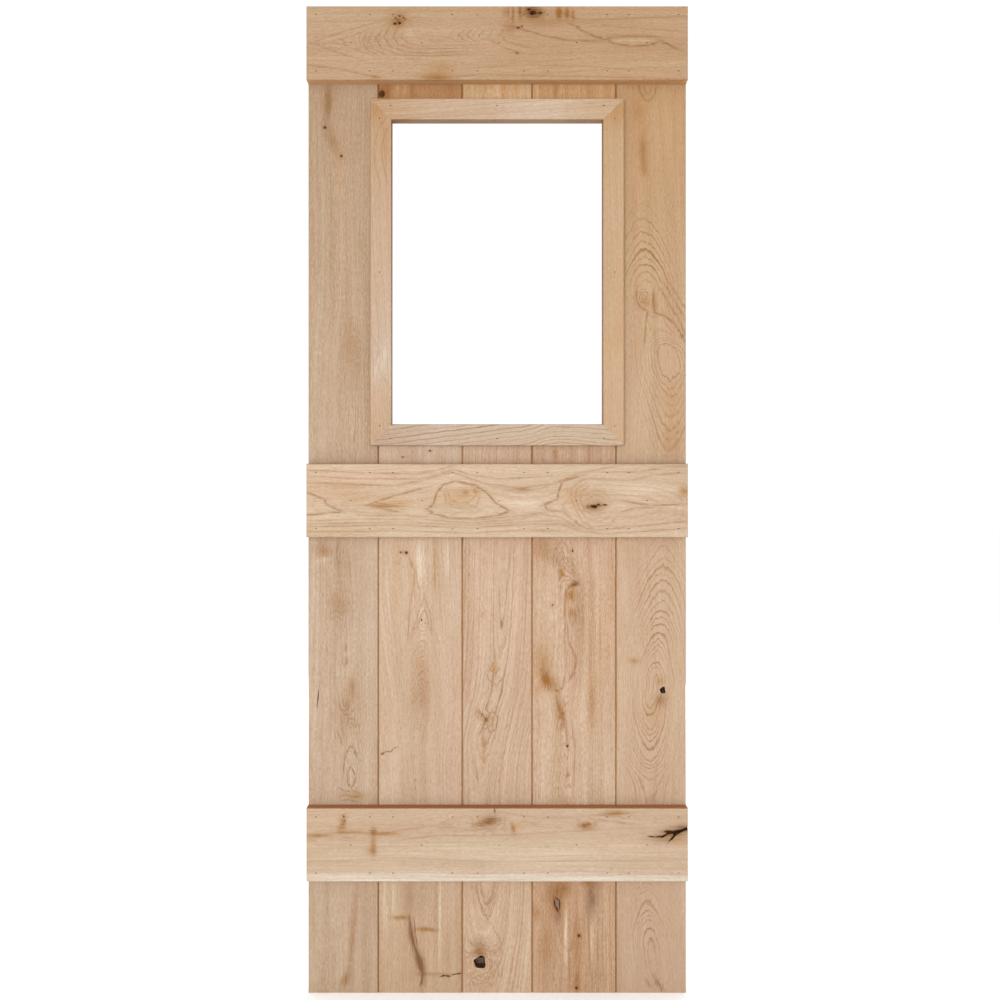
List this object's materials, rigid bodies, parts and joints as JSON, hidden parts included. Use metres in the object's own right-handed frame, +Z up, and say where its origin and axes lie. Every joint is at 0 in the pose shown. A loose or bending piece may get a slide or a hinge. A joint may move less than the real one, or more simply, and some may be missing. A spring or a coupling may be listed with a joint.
{
  "type": "ledged cottage door leaf",
  "caption": "Oak ledged door leaf of upright tongue-and-groove boards nailed to broad ledges, with a mitred frame round an open window in its upper half.",
  "frame": {"origin": "on the floor line, under the middle of the leaf's width and depth", "axes": "+X across the leaf, to the right when the ledged face is seen; +Y from the ledged face to the plain face; +Z up the leaf"},
  "size_m": [0.762, 0.054, 1.981],
  "materials": {
    "board_oak": "planed oak, unfinished, matt",
    "ledge_oak": "planed oak, unfinished, matt",
    "frame_oak": "planed oak, unfinished, matt",
    "nail_steel": "dull dark steel, punched below the surface"
  },
  "bodies": {
    "root": {"left_edge_board": "board_oak", "left_wide_board": "board_oak", "centre_board_upper": "board_oak", "centre_board_lower": "board_oak", "right_wide_board": "board_oak", "right_edge_board": "board_oak", "top_ledge": "ledge_oak", "middle_ledge": "ledge_oak", "bottom_ledge": "ledge_oak", "back_frame_head": "frame_oak", "back_frame_sill": "frame_oak", "back_frame_left_stile": "frame_oak", "back_frame_right_stile": "frame_oak", "front_frame_head": "frame_oak", "front_frame_sill": "frame_oak", "front_frame_left_stile": "frame_oak", "front_frame_right_stile": "frame_oak", "top_ledge_nails": "nail_steel", "middle_ledge_nails": "nail_steel", "bottom_ledge_nails": "nail_steel", "back_frame_pins": "nail_steel", "front_frame_pins": "nail_steel"}
  },
  "joints": []
}
